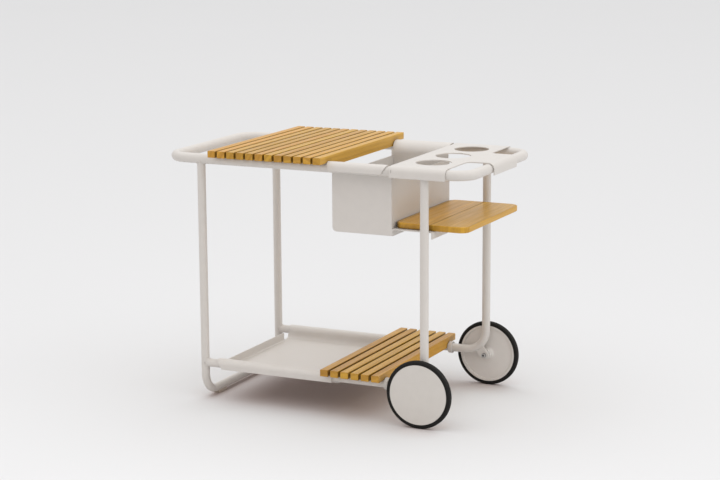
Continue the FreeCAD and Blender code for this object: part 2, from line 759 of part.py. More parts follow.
def bottle_bin():
    """An open bin of bent sheet that hooks over both rails of the ring."""
    body = new_body("bottle_bin")
    hooks = new_sketch(body, "Hooks", "YZ_Plane", "Dim.bin_hook_left")
    trace(hooks, (
        ("-(%s)" % HOOK_OUTER, "Dim.bin_hook_bottom"),
        ("-(%s)" % HOOK_OUTER, RING_SHEET, OUTER_BEND),
        ("-(%s)" % WALL_INNER, RING_SHEET, OUTER_BEND),
        ("-(%s)" % WALL_INNER, "Dim.bin_hook_bottom"),
        ("-(%s)" % WALL_OUTER, "Dim.bin_hook_bottom"),
        ("-(%s)" % WALL_OUTER, RING_SEAT, INNER_BEND),
        ("-(%s)" % HOOK_INNER, RING_SEAT, INNER_BEND),
        ("-(%s)" % HOOK_INNER, "Dim.bin_hook_bottom"),
    ))
    trace(hooks, (
        ("Dim.bin_far", "Dim.bin_wall_top - Dim.ring_size / 2"),
        ("Dim.bin_far", RING_SHEET, "Dim.bin_far_bend + Dim.sheet_gauge"),
        (HOOK_OUTER, RING_SHEET, OUTER_BEND),
        (HOOK_OUTER, "Dim.bin_hook_bottom"),
        (HOOK_INNER, "Dim.bin_hook_bottom"),
        (HOOK_INNER, RING_SEAT, INNER_BEND),
        ("Dim.bin_far + Dim.sheet_gauge", RING_SEAT, "Dim.bin_far_bend"),
        ("Dim.bin_far + Dim.sheet_gauge", "Dim.bin_wall_top - Dim.ring_size / 2"),
    ))
    pad(body, hooks, "Dim.bin_hook_right - Dim.bin_hook_left", "HookSheet")
    slanted_ends(body, "Dim.bin_hook_bottom", RING_SHEET, {
        "Left": ("Dim.bin_hook_left", "Dim.bin_hook_left + Dim.hook_slant_left"),
        "Right": ("Dim.bin_hook_right", "Dim.bin_hook_right - Dim.hook_slant_right"),
    })
    near_wall_top = "Dim.ring_height"
    trough = trace(new_sketch(body, "Trough", "YZ_Plane", "Dim.bin_left"), (
        ("-(%s)" % WALL_OUTER, "Dim.bin_bottom"),
        ("Dim.bin_far + Dim.sheet_gauge", "Dim.bin_bottom"),
        ("Dim.bin_far + Dim.sheet_gauge", "Dim.bin_wall_top"),
        ("Dim.bin_far", "Dim.bin_wall_top"),
        ("Dim.bin_far", "Dim.bin_bottom + Dim.sheet_gauge"),
        ("-(%s)" % WALL_INNER, "Dim.bin_bottom + Dim.sheet_gauge"),
        ("-(%s)" % WALL_INNER, near_wall_top),
        ("-(%s)" % WALL_OUTER, near_wall_top),
    ))
    pad(body, trough, "Dim.bin_right - Dim.bin_left", "TroughSheet")
    for name, left in (("Left", "Dim.bin_left"), ("Right", "Dim.bin_right - Dim.sheet_gauge")):
        end = trace(new_sketch(body, name + "End", "YZ_Plane", left), (
            ("-(%s)" % WALL_OUTER, "Dim.bin_bottom"),
            ("Dim.bin_far + Dim.sheet_gauge", "Dim.bin_bottom"),
            ("Dim.bin_far + Dim.sheet_gauge", "Dim.bin_wall_top"),
            ("-(%s)" % WALL_OUTER, "Dim.bin_wall_top"),
        ))
        last = pad(body, end, "Dim.sheet_gauge", name + "EndSheet")
    last = round_edges(body, last, lambda box: box.YLength > SAME and near_to(box.XMax, "Dim.bin_left")
                       and near_to(box.ZMax, "Dim.bin_bottom"), "Dim.bin_corner", "OuterCorner")
    round_edges(body, last, lambda box: box.YLength > SAME
                and near_to(box.XMax, "Dim.bin_left + Dim.sheet_gauge")
                and near_to(box.ZMax, "Dim.bin_bottom + Dim.sheet_gauge"),
                "Dim.bin_corner - Dim.sheet_gauge", "InnerCorner")
    holes = rivet_circles(body, "Dim.bin_right + Dim.sheet_gauge", "Dim.rivet_size / 2")
    pocket(body, holes, "RivetHoles", "3 * Dim.sheet_gauge")


def rivet_circles(body, lift, radius):
    """A row of equal circles where the bracket is riveted to the bin."""
    row = new_sketch(body, "Rivets", "YZ_Plane", lift)
    for i in range(RIVETS):
        circle(row, ("Dim.rivet_first + %d * Dim.rivet_pitch" % i, "Dim.rivet_height"), radius)
    return row


def board_bracket():
    """The ledge under the board: a flange on the bin, a shelf and a folded lip."""
    body = new_body("board_bracket")
    gauge = "Dim.sheet_gauge"
    inner_fold = gauge + " / 2"
    outer_fold = inner_fold + " + " + gauge
    section = trace(new_sketch(body, "Section", "XZ_Plane", "-(Dim.bin_far + Dim.sheet_gauge)"), (
        ("Dim.bin_right", "Dim.bin_bottom"),
        ("Dim.bin_right", "Dim.shelf_top", outer_fold),
        ("Dim.shelf_right", "Dim.shelf_top", outer_fold),
        ("Dim.shelf_right", "Dim.bin_bottom"),
        ("Dim.shelf_right - " + gauge, "Dim.bin_bottom"),
        ("Dim.shelf_right - " + gauge, "Dim.shelf_top - " + gauge, inner_fold),
        ("Dim.bin_right + " + gauge, "Dim.shelf_top - " + gauge, inner_fold),
        ("Dim.bin_right + " + gauge, "Dim.bin_bottom"),
    ))
    pad(body, section, "Dim.bin_far + Dim.sheet_gauge + " + WALL_OUTER)
    holes = rivet_circles(body, "Dim.bin_right + 2 * Dim.sheet_gauge", "Dim.rivet_size / 2")
    pocket(body, holes, "RivetHoles", "3 * Dim.sheet_gauge")


def bracket_rivets():
    """The rivets that hold the bracket on the bin's wheel-side wall."""
    body = new_body("bracket_rivets")
    inner = "Dim.bin_right - Dim.sheet_gauge"
    outer = "Dim.bin_right + Dim.sheet_gauge"
    head = "Dim.rivet_head / 2"
    pad(body, rivet_circles(body, inner + " - Dim.rivet_head_depth", head),
        "Dim.rivet_head_depth", "InnerHeads")
    pad(body, rivet_circles(body, inner, "Dim.rivet_size / 2"), "2 * Dim.sheet_gauge", "Shanks")
    pad(body, rivet_circles(body, outer, head), "Dim.rivet_head_depth", "OuterHeads")


def glass_holder():
    """One sheet with three glass holes, hooked over both rails and the ring's right end."""
    body = new_body("glass_holder")
    section = trace(new_sketch(body, "Section", "YZ_Plane", "Dim.holder_left"), (
        ("-(%s)" % HOOK_OUTER, "Dim.holder_bottom"),
        ("-(%s)" % HOOK_OUTER, RING_SHEET, OUTER_BEND),
        (HOOK_OUTER, RING_SHEET, OUTER_BEND),
        (HOOK_OUTER, "Dim.holder_bottom"),
        (HOOK_INNER, "Dim.holder_bottom"),
        (HOOK_INNER, RING_SEAT, INNER_BEND),
        ("-(%s)" % HOOK_INNER, RING_SEAT, INNER_BEND),
        ("-(%s)" % HOOK_INNER, "Dim.holder_bottom"),
    ))
    pad(body, section, "Dim.holder_right - Dim.holder_left", "TopSheet")
    slanted_ends(body, "Dim.ring_height", "Dim.ring_height + Dim.ring_size / 4", {
        "Left": ("Dim.holder_hook_left", "Dim.holder_hook_left"),
    })
    end_outer = "Dim.ring_right + Dim.ring_size / 2 + Dim.hook_gap + Dim.sheet_gauge"
    end_inner = "Dim.ring_right + Dim.ring_size / 2 + Dim.hook_gap"
    start = "Dim.holder_right - Dim.holder_tab_corner"
    tab = trace(new_sketch(body, "Tab", "XZ_Plane", "-Dim.holder_tab"), (
        (start, RING_SHEET),
        (end_outer, RING_SHEET, OUTER_BEND),
        (end_outer, "Dim.holder_tab_bottom"),
        (end_inner, "Dim.holder_tab_bottom"),
        (end_inner, RING_SEAT, INNER_BEND),
        (start, RING_SEAT),
    ))
    last = pad(body, tab, "2 * Dim.holder_tab", "TabSheet")
    round_edges(body, last, lambda box: box.XLength < SAME and box.YLength < SAME
                and near_to(box.XMax, "Dim.holder_right")
                and near_to(abs(box.YMax), "Dim.holder_tab"), "Dim.holder_tab_corner", "TabCorners")
    hole = circle(new_sketch(body, "GlassHole", "XY_Plane", RING_SHEET + " + Dim.cut_margin"),
                  ("Dim.glass_place", "-Dim.glass_pitch"), "Dim.glass_hole / 2")
    cut = pocket(body, hole, "FirstGlassHole", "Dim.ring_size / 2")
    repeat(body, cut, "Y_Axis", "2 * Dim.glass_pitch", 3, "GlassHoles")


def tray():
    """The low tray: one bent sheet hooked over both lower rails, with a lip at each end."""
    body = new_body("tray")
    seat = "Dim.rail_height + Dim.leg_size / 2 + Dim.seat_gap"
    sheet = seat + " + Dim.sheet_gauge"
    hook_inner = "Dim.rail_offset + Dim.leg_size / 2 + Dim.hook_gap"
    hook_outer = hook_inner + " + Dim.sheet_gauge"
    wall_outer = "Dim.tray_wall + Dim.sheet_gauge"
    inner_bend = "Dim.leg_size / 2"
    outer_bend = "Dim.leg_size / 2 + Dim.sheet_gauge"
    hooks = new_sketch(body, "Hooks", "YZ_Plane", "Dim.tray_left")
    for sign in ("-", ""):
        trace(hooks, (
            ("%s(%s)" % (sign, hook_outer), "Dim.tray_hook_bottom"),
            ("%s(%s)" % (sign, hook_outer), sheet, outer_bend),
            ("%sDim.tray_wall" % sign, sheet, outer_bend),
            ("%sDim.tray_wall" % sign, "Dim.rail_height"),
            ("%s(%s)" % (sign, wall_outer), "Dim.rail_height"),
            ("%s(%s)" % (sign, wall_outer), seat, inner_bend),
            ("%s(%s)" % (sign, hook_inner), seat, inner_bend),
            ("%s(%s)" % (sign, hook_inner), "Dim.tray_hook_bottom"),
        ))
    pad(body, hooks, "Dim.tray_right - Dim.tray_left", "HookSheet")
    slanted_ends(body, "Dim.tray_hook_bottom", sheet, {
        "Left": ("Dim.tray_left", "Dim.tray_left + Dim.tray_hook_slant"),
    })
    under = "Dim.tray_floor - Dim.sheet_gauge"
    trough = trace(new_sketch(body, "Trough", "YZ_Plane", "Dim.tray_left"), (
        ("-Dim.tray_wall", "Dim.rail_height"),
        ("-Dim.tray_wall", "Dim.tray_floor", "Dim.tray_bend"),
        ("Dim.tray_wall", "Dim.tray_floor", "Dim.tray_bend"),
        ("Dim.tray_wall", "Dim.rail_height"),
        (wall_outer, "Dim.rail_height"),
        (wall_outer, under, "Dim.tray_bend + Dim.sheet_gauge"),
        ("-(%s)" % wall_outer, under, "Dim.tray_bend + Dim.sheet_gauge"),
        ("-(%s)" % wall_outer, "Dim.rail_height"),
    ))
    pad(body, trough, "Dim.tray_right - Dim.tray_left", "TroughSheet")
    lips = new_sketch(body, "Lips", "XZ_Plane", "-Dim.tray_end_reach")
    for edge, inward in (("Dim.tray_left", "+"), ("Dim.tray_right", "-")):
        trace(lips, (
            (edge, under),
            (edge, "Dim.tray_end_top"),
            ("%s %s Dim.sheet_gauge" % (edge, inward), "Dim.tray_end_top"),
            ("%s %s Dim.sheet_gauge" % (edge, inward), "Dim.tray_floor", "Dim.lip_round"),
            ("%s %s Dim.lip_foot" % (edge, inward), "Dim.tray_floor"),
            ("%s %s Dim.lip_foot" % (edge, inward), under),
        ))
    pad(body, lips, "2 * Dim.tray_end_reach", "LipSheet")


# ---------------------------------------------------------------- cutting board

def board_plank(side_name):
    """One of the two planks, grooved for the tongue that joins them."""
    body = new_body("board_plank_" + side_name)
    if side_name == "left":
        edge, seam, groove_start = "Dim.board_left", "Dim.board_seam - Dim.seam_gap / 2", "-"
    else:
        edge, seam, groove_start = "Dim.board_right", "Dim.board_seam + Dim.seam_gap / 2", "+"
    outline = trace(new_sketch(body, "Outline", "XY_Plane"), (
        (edge, "-Dim.board_reach", "Dim.board_corner"),
        (seam, "-Dim.board_reach"),
        (seam, "Dim.board_reach"),
        (edge, "Dim.board_reach", "Dim.board_corner"),
    ))
    plank = pad(body, outline, "Dim.board_depth")
    round_edges(body, plank, lambda box: box.ZLength < SAME
                and not (near_to(box.XMax, seam) and near_to(box.XMin, seam)),
                "Dim.board_edge", "SoftEdges")
    groove = trace(new_sketch(body, "Groove", "YZ_Plane",
                              "%s %s Dim.tongue_width / 2" % (seam, groove_start)), (
        ("-Dim.tongue_reach", "Dim.board_depth / 2 - Dim.tongue_depth / 2"),
        ("Dim.tongue_reach", "Dim.board_depth / 2 - Dim.tongue_depth / 2"),
        ("Dim.tongue_reach", "Dim.board_depth / 2 + Dim.tongue_depth / 2"),
        ("-Dim.tongue_reach", "Dim.board_depth / 2 + Dim.tongue_depth / 2"),
    ))
    pocket(body, groove, "TongueGroove", "Dim.tongue_width / 2", side_name == "left")
    place(body, "0", "0", "Dim.shelf_top + Dim.seat_gap")


def board_tongue():
    """The strip glued into both planks across the seam."""
    body = new_body("board_tongue")
    half = "Dim.tongue_width / 2 + Dim.seam_gap / 2"
    outline = trace(new_sketch(body, "Outline", "XY_Plane"), (
        ("Dim.board_seam - (%s)" % half, "-Dim.tongue_reach"),
        ("Dim.board_seam + %s" % half, "-Dim.tongue_reach"),
        ("Dim.board_seam + %s" % half, "Dim.tongue_reach"),
        ("Dim.board_seam - (%s)" % half, "Dim.tongue_reach"),
    ))
    pad(body, outline, "Dim.tongue_depth")
    place(body, "0", "0",
          "Dim.shelf_top + Dim.seat_gap + Dim.board_depth / 2 - Dim.tongue_depth / 2")


# ---------------------------------------------------------------- the whole trolley

def trolley():
    """Every sub-part in its place."""
    top_ring()
    left_sled_frame()
    rail_collars()
    floor_glides()
    for side_name, side in SIDES:
        right_leg(side_name, side)
        for make in (wheel_bracket, axle_bolt, axle_spacer, axle_washer, axle_nut,
                     wheel_disc, tyre, wheel_cover, wheel_bushes):
            make(side_name, side)
    top_deck()
    low_deck()
    bottle_bin()
    board_bracket()
    bracket_rivets()
    glass_holder()
    tray()
    board_plank("left")
    board_plank("right")
    board_tongue()


def check_and_write():
    """Stop at the first faulty object, then write one file per sub-part."""
    doc.recompute()
    for item in doc.Objects:
        if {"Invalid", "Error"} & set(item.State):
            raise RuntimeError("%s did not build" % item.Label)
    for body in sub_parts:
        if body.Shape.isNull() or not body.Shape.isValid() or not body.Shape.Solids:
            raise RuntimeError("%s has no sound solid" % body.Label)
    os.makedirs("parts", exist_ok=True)
    for body in sub_parts:
        body.Shape.exportStep(os.path.join("parts", body.Label + ".step"))
    print(len(sub_parts), "sub-parts written")


trolley()
check_and_write()
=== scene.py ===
import json
import math

import bmesh
import bpy
from mathutils import Matrix, Vector


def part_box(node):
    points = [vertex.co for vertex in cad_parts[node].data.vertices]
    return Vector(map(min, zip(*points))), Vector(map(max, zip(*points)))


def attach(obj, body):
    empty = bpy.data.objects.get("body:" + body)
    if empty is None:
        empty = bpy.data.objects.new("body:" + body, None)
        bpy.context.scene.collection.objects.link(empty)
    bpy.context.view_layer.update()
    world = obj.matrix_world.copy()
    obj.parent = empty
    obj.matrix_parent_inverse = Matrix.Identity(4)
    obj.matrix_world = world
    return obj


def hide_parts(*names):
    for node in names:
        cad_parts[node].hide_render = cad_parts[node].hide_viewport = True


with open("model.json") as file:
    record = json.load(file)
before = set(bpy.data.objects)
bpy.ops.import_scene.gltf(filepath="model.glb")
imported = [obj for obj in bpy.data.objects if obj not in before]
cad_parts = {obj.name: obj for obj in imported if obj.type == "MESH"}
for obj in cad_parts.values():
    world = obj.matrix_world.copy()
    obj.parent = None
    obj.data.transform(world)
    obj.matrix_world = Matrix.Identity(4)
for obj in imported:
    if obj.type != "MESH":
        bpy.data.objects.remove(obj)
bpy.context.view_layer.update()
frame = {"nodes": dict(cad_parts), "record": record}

SLOT_COLOURS = {slot["slot"]: slot["base_color"] for slot in frame["record"]["materials"]}
SIDES = (("near", -1), ("far", 1))

# ---------------------------------------------------------------- places read from the frame

ring_low, ring_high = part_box("top_ring")
RING_RADIUS = (ring_high.z - ring_low.z) / 2
RING_HEIGHT = (ring_high.z + ring_low.z) / 2
RAIL_OFFSET = ring_high.y - RING_RADIUS
sled_low, sled_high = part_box("left_sled_frame")
LEG_RADIUS = (sled_high.x - sled_low.x) / 2
LEG_LEFT = (sled_high.x + sled_low.x) / 2
rail_low, rail_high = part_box("right_leg_near")
LEG_RIGHT = rail_high.x - LEG_RADIUS
RAIL_HEIGHT = rail_low.z + LEG_RADIUS
tyre_low, tyre_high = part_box("tyre_far")
WHEEL_RADIUS = (tyre_high.z - tyre_low.z) / 2
AXLE_PLACE = (tyre_high.x + tyre_low.x) / 2
cover_low, cover_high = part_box("wheel_cover_far")
COVER_RADIUS = (cover_high.z - cover_low.z) / 2


# ---------------------------------------------------------------- shader graphs

class Graph:
    """The nodes of one finish or effect; each is made and fed in one call."""

    def __init__(self, tree):
        self.tree = tree

    def node(self, kind, feeds=None, **settings):
        made = self.tree.nodes.new(kind)
        for name, value in settings.items():
            setattr(made, name, value)
        for socket, value in (feeds or {}).items():
            if isinstance(value, bpy.types.NodeSocket):
                self.tree.links.new(value, made.inputs[socket])
            else:
                made.inputs[socket].default_value = value
        return made

    def effect(self, group, **feeds):
        """A shared effect placed here with its own values."""
        feeds = {name.replace("_", " "): value for name, value in feeds.items()}
        return self.node("ShaderNodeGroup", feeds, node_tree=group).outputs

    def maths(self, operation, *values):
        return self.node("ShaderNodeMath", dict(enumerate(values)), operation=operation).outputs[0]

    def vectors(self, operation, *values):
        feeds = dict(enumerate(values))
        return self.node("ShaderNodeVectorMath", feeds, operation=operation).outputs[0]

    def measure(self, operation, *values):
        """The number that vectors give: a length, a distance or a dot product."""
        feeds = dict(enumerate(values))
        return self.node("ShaderNodeVectorMath", feeds, operation=operation).outputs["Value"]

    def noise(self, vector, scale, detail=2.0, output=0):
        feeds = {"Vector": vector, "Scale": scale, "Detail": detail}
        return self.node("ShaderNodeTexNoise", feeds).outputs[output]

    def span(self, value, low, high, start=0.0, end=1.0):
        feeds = {"Value": value, "From Min": low, "From Max": high, "To Min": start, "To Max": end}
        return self.node("ShaderNodeMapRange", feeds).outputs[0]

    def between(self, share, low, high):
        """From low to high as the share goes from 0 to 1."""
        return self.span(share, 0.0, 1.0, low, high)

    def shuffled(self, number, factor):
        """Another number from 0 to 1, made from a first one."""
        return self.maths("FRACT", self.maths("MULTIPLY", number, factor))

    def sum_of(self, *parts):
        """The sum of masks, each given with its share."""
        scaled = [self.maths("MULTIPLY", mask, share) for mask, share in parts]
        total = scaled[0]
        for part in scaled[1:]:
            total = self.maths("ADD", total, part)
        return total

    def tint(self, share, first, second):
        feeds = {0: share, 6: first, 7: second}
        return self.node("ShaderNodeMix", feeds, data_type="RGBA").outputs[2]

    def lay_on(self, shade, mask, share, colour):
        """The shade with a colour laid over it where the mask is, up to a share."""
        return self.tint(self.maths("MULTIPLY", mask, share), shade, colour)

    def place(self):
        """Places in the trolley's own frame."""
        return self.node("ShaderNodeTexCoord").outputs["Object"]

    def along_y(self, vector, share):
        """The vector with its part along Y multiplied: 0 leaves only what runs across."""
        return self.vectors("MULTIPLY", vector, (1.0, share, 1.0))

    def from_axle(self, place):
        """How far a place is from the line that the wheels turn on."""
        centred = self.vectors("SUBTRACT", place, (AXLE_PLACE, 0.0, WHEEL_RADIUS))
        return self.measure("LENGTH", self.along_y(centred, 0.0))

    def bump(self, height, distance, normal):
        feeds = {"Height": height, "Distance": distance, "Normal": normal}
        return self.node("ShaderNodeBump", feeds).outputs[0]


# ---------------------------------------------------------------- shared effects

def new_effect(name, inputs, outputs):
    """An empty shader group with named sockets: its graph, its inputs and what it puts out."""
    tree = bpy.data.node_groups.new(name, "ShaderNodeTree")
    for way, sockets in (("INPUT", inputs), ("OUTPUT", outputs)):
        for socket, kind in sockets.items():
            tree.interface.new_socket(socket, in_out=way, socket_type="NodeSocket" + kind)
    graph = Graph(tree)
    return graph, graph.node("NodeGroupInput").outputs, graph.node("NodeGroupOutput").inputs


def put_out(graph, sockets, values):
    """Joins each value to the group's output of that name."""
    for name, value in values.items():
        graph.tree.links.new(value, sockets[name])


# How alike the true and the rounded normal are, away from an edge and on it.
EDGE_ALIKE = (0.999, 0.85)


def soft_edges():
    """Normals that turn gently at every edge, and a mask of the edges."""
    graph, given, result = new_effect(
        "Soft edges", {"Reach": "Float"}, {"Normal": "Vector", "Edge": "Float"})
    rounded = graph.node("ShaderNodeBevel", {"Radius": given["Reach"]}, samples=6).outputs[0]
    facing = graph.node("ShaderNodeNewGeometry").outputs["Normal"]
    alike = graph.measure("DOT_PRODUCT", rounded, facing)
    put_out(graph, result, {"Normal": rounded, "Edge": graph.span(alike, *EDGE_ALIKE)})
    return graph.tree


# The mottle is this share as fine as the peel.
MOTTLE_FINENESS = 0.06
MOTTLE_SPAN = (0.35, 0.65)


def baked_skin():
    """The orange-peel skin of baked paint and its slow mottle."""
    graph, given, result = new_effect(
        "Baked skin", {"Vector": "Vector", "Peel": "Float"},
        {"Height": "Float", "Mottle": "Float"})
    peel_scale = graph.maths("DIVIDE", 1.0, given["Peel"])
    peel = graph.noise(given["Vector"], peel_scale, detail=3.0)
    mottle_scale = graph.maths("DIVIDE", MOTTLE_FINENESS, given["Peel"])
    mottle = graph.span(graph.noise(given["Vector"], mottle_scale), *MOTTLE_SPAN)
    put_out(graph, result, {"Height": peel, "Mottle": mottle})
    return graph.tree


# Every plank is cut from its own stretch of one log, whose heart lies below the plank.
LOG_ASIDE = (-0.05, 0.05)
LOG_BELOW = (-0.66, -0.6)
LOG_STRETCH = 9.7
BELOW_SHUFFLE = 7.3
HUE_SHUFFLE = 13.7
PLANK_HUE = (0.494, 0.504)
PLANK_VALUE = (0.9, 1.08)
# Along the plank each pattern of the grain changes at this share of its pace across it.
RING_DRAWN = 0.1
FIBRE_DRAWN = 0.02
STREAK_DRAWN = 0.04
RING_WANDER = (0.02, 0.0, 0.02)
LATE_RISE = (0.2, 0.85)
LATE_FALL = (1.0, 0.9)
STREAK_SPAN = (0.3, 0.72)
BAND_SPAN = (0.36, 0.64)
TONE_SHARES = {"late": 0.32, "streak": 0.26, "fibre": 0.16, "bands": 0.34}
HEIGHT_SHARES = {"fibre": 0.5, "late": 0.5}


def wood_grain():
    """Growth rings along Y with fibre and streaks; each plank is cut from another place."""
    graph, given, result = new_effect(
        "Wood grain",
        {"Vector": "Vector", "Plank": "Float", "Ring": "Float",
         "Early wood": "Color", "Late wood": "Color"},
        {"Colour": "Color", "Height": "Float", "Sheen": "Float", "Bands": "Float"})
    plank = given["Plank"]
    log_place = graph.node("ShaderNodeCombineXYZ", {
        "X": graph.between(plank, *LOG_ASIDE),
        "Y": graph.maths("MULTIPLY", plank, LOG_STRETCH),
        "Z": graph.between(graph.shuffled(plank, BELOW_SHUFFLE), *LOG_BELOW),
    }).outputs[0]
    cut = graph.vectors("ADD", given["Vector"], log_place)
    long_cut = graph.along_y(cut, RING_DRAWN)
    wander = graph.noise(long_cut, scale=12.0, output="Color")
    wander = graph.vectors("SUBTRACT", wander, (0.5, 0.5, 0.5))
    bent = graph.vectors("ADD", long_cut, graph.vectors("MULTIPLY", wander, RING_WANDER))
    heart = graph.measure("LENGTH", graph.along_y(bent, 0.0))
    ring = graph.maths("FRACT", graph.maths("DIVIDE", heart, given["Ring"]))
    late = graph.maths("MULTIPLY", graph.span(ring, *LATE_RISE), graph.span(ring, *LATE_FALL))
    fibre = graph.noise(graph.along_y(cut, FIBRE_DRAWN), scale=1500.0)
    streak = graph.noise(graph.along_y(cut, STREAK_DRAWN), scale=190.0, detail=3.0)
    streak = graph.span(streak, *STREAK_SPAN)
    years = graph.node("ShaderNodeCombineXYZ", {"X": heart, "Y": plank}).outputs[0]
    bands = graph.span(graph.noise(years, scale=70.0, detail=1.0), *BAND_SPAN)
    tone = graph.sum_of((late, TONE_SHARES["late"]), (streak, TONE_SHARES["streak"]),
                        (fibre, TONE_SHARES["fibre"]), (bands, TONE_SHARES["bands"]))
    colour = graph.node("ShaderNodeHueSaturation", {
        "Color": graph.tint(tone, given["Early wood"], given["Late wood"]),
        "Hue": graph.between(graph.shuffled(plank, HUE_SHUFFLE), *PLANK_HUE),
        "Value": graph.between(plank, *PLANK_VALUE),
    }).outputs[0]
    height = graph.sum_of((fibre, HEIGHT_SHARES["fibre"]), (late, HEIGHT_SHARES["late"]))
    put_out(graph, result, {"Colour": colour, "Height": height, "Sheen": streak, "Bands": bands})
    return graph.tree


# The share of open air round a place, in the open and closed in.
OPEN_SPAN = (0.9, 0.3)


def gap_shade():
    """How deep in a gap or a corner a place lies, from open to closed in."""
    graph, given, result = new_effect("Gap shade", {"Reach": "Float"}, {"Gap": "Float"})
    open_air = graph.node("ShaderNodeAmbientOcclusion", {"Distance": given["Reach"]}, samples=8)
    put_out(graph, result, {"Gap": graph.span(open_air.outputs["AO"], *OPEN_SPAN)})
    return graph.tree


DUST_PATCHES = (0.4, 0.7)


def settled_dust():
    """A thin grey film that gathers low down and thins out upwards."""
    graph, given, result = new_effect(
        "Settled dust", {"Vector": "Vector", "Top": "Float"}, {"Dust": "Float"})
    height = graph.node("ShaderNodeSeparateXYZ", {0: given["Vector"]}).outputs["Z"]
    low_down = graph.span(height, given["Top"], 0.0)
    patches = graph.span(graph.noise(given["Vector"], scale=90.0, detail=4.0), *DUST_PATCHES)
    put_out(graph, result, {"Dust": graph.maths("MULTIPLY", low_down, patches)})
    return graph.tree


SOFT_EDGES = soft_edges()
BAKED_SKIN = baked_skin()
WOOD_GRAIN = wood_grain()
GAP_SHADE = gap_shade()
SETTLED_DUST = settled_dust()


# ---------------------------------------------------------------- finishes

def rgba(colour, level=1.0):
    """A colour with its alpha, made lighter or darker by level."""
    return (colour[0] * level, colour[1] * level, colour[2] * level, 1.0)


def toned(slot, tones):
    """A slot's colour with each of its parts made lighter or darker."""
    return tuple(part * tone for part, tone in zip(SLOT_COLOURS[slot], tones))


def new_finish(name, **sockets):
    """A material with one Principled shader, whose stated sockets are the same all over."""
    material = bpy.data.materials.new(name)
    material.use_nodes = True
    shader = material.node_tree.nodes["Principled BSDF"]
    for socket, value in sockets.items():
        shader.inputs[socket.replace("_", " ")].default_value = value
    return material, Graph(material.node_tree), shader


def join(graph, shader, **sockets):
    """Feeds the shader's varying sockets."""
    for socket, value in sockets.items():
        graph.tree.links.new(value, shader.inputs[socket.replace("_", " ")])


COAT_TONE = (0.985, 1.0, 0.99)
DISC_TONE = (1.16, 1.19, 1.19)
COVER_TONE = (1.03, 1.035, 1.02)
COAT_DUST_COLOUR = (0.36, 0.33, 0.3, 1.0)
COAT_BUMP = 0.00006


def baked_coat(slot, peel, rough, tones=COAT_TONE):
    """Sprayed and baked paint: fine peel, slow mottle, painted highlights on the edges, a little
    dust low down.
    """
    material, graph, shader = new_finish(slot + "_finish", IOR=1.47)
    colour = toned(slot, tones)
    place = graph.place()
    skin = graph.effect(BAKED_SKIN, Vector=place, Peel=peel)
    edges = graph.effect(SOFT_EDGES, Reach=0.0011)
    dust = graph.effect(SETTLED_DUST, Vector=place, Top=0.06)
    shade = graph.tint(skin["Mottle"], rgba(colour, level=0.99), rgba(colour, level=1.01))
    # Painted highlight: the edges are made lighter, standing in for the light that rounded edges
    # catch.
    shade = graph.lay_on(shade, edges["Edge"], share=0.5, colour=rgba(colour, level=1.09))
    shade = graph.lay_on(shade, dust["Dust"], share=0.08, colour=COAT_DUST_COLOUR)
    gloss = graph.between(skin["Mottle"], low=rough - 0.04, high=rough + 0.05)
    join(graph, shader, Base_Color=shade, Roughness=gloss,
         Normal=graph.bump(skin["Height"], COAT_BUMP, edges["Normal"]))
    return material


OILED_TONES = {"slat_wood": (0.9, 0.79, 0.215), "board_wood": (0.99, 0.9, 0.185)}
# Late wood loses more green than red, and most blue.
LATE_POWERS = (1.0, 1.5, 2.2)
END_FACING = (0.8, 0.95)
WOOD_BUMP = 0.00012


def oiled_wood(slot, ring, late_level, sheen, along_x=False):
    """Oiled hardwood: rings and fibre, darker on its ends, with painted shade along its edges and
    in the gaps.
    """
    name = slot + ("_cross_finish" if along_x else "_finish")
    material, graph, shader = new_finish(name, IOR=1.46)
    colour = toned(slot, OILED_TONES[slot])
    late = rgba([part * late_level ** power for part, power in zip(colour, LATE_POWERS)])
    place = graph.place()
    grain_axis = "X" if along_x else "Y"
    if along_x:
        parts = graph.node("ShaderNodeSeparateXYZ", {0: place}).outputs
        swapped = {"X": parts["Y"], "Y": parts["X"], "Z": parts["Z"]}
        place = graph.node("ShaderNodeCombineXYZ", swapped).outputs[0]
    plank = graph.node("ShaderNodeObjectInfo").outputs["Random"]
    wood = graph.effect(WOOD_GRAIN, Vector=place, Plank=plank, Ring=ring,
                        Early_wood=rgba(colour, level=1.3), Late_wood=late)
    edges = graph.effect(SOFT_EDGES, Reach=0.0012)
    facing = graph.node("ShaderNodeNewGeometry").outputs["True Normal"]
    facing = graph.node("ShaderNodeSeparateXYZ", {0: facing}).outputs[grain_axis]
    ends = graph.span(graph.maths("ABSOLUTE", facing), *END_FACING)
    soaked = graph.maths("MULTIPLY", ends, graph.between(wood["Bands"], low=0.05, high=0.6))
    shade = graph.tint(soaked, wood["Colour"], rgba(late, level=0.95))
    # Painted shade: the edges are darkened so that the gaps between slats look darker and wider.
    shade = graph.lay_on(shade, edges["Edge"], share=0.5, colour=rgba(late, level=0.75))
    # Painted shade: the wood is darkened where the gaps and corners close it in, as shade would
    # fall there.
    gap = graph.effect(GAP_SHADE, Reach=0.035)["Gap"]
    shade = graph.lay_on(shade, gap, share=0.85, colour=rgba(late, level=0.26))
    gloss = graph.between(wood["Sheen"], low=sheen - 0.06, high=sheen + 0.08)
    join(graph, shader, Base_Color=shade, Roughness=gloss,
         Normal=graph.bump(wood["Height"], WOOD_BUMP, edges["Normal"]))
    return material


# The tread picks up dust within this depth of the rolling surface.
ROLLING_DEPTH = 0.003
TREAD_DUST_COLOUR = (0.08, 0.072, 0.066, 1.0)
TREAD_PATCHES = (0.35, 0.7)
RUBBER_BUMP = 0.00008


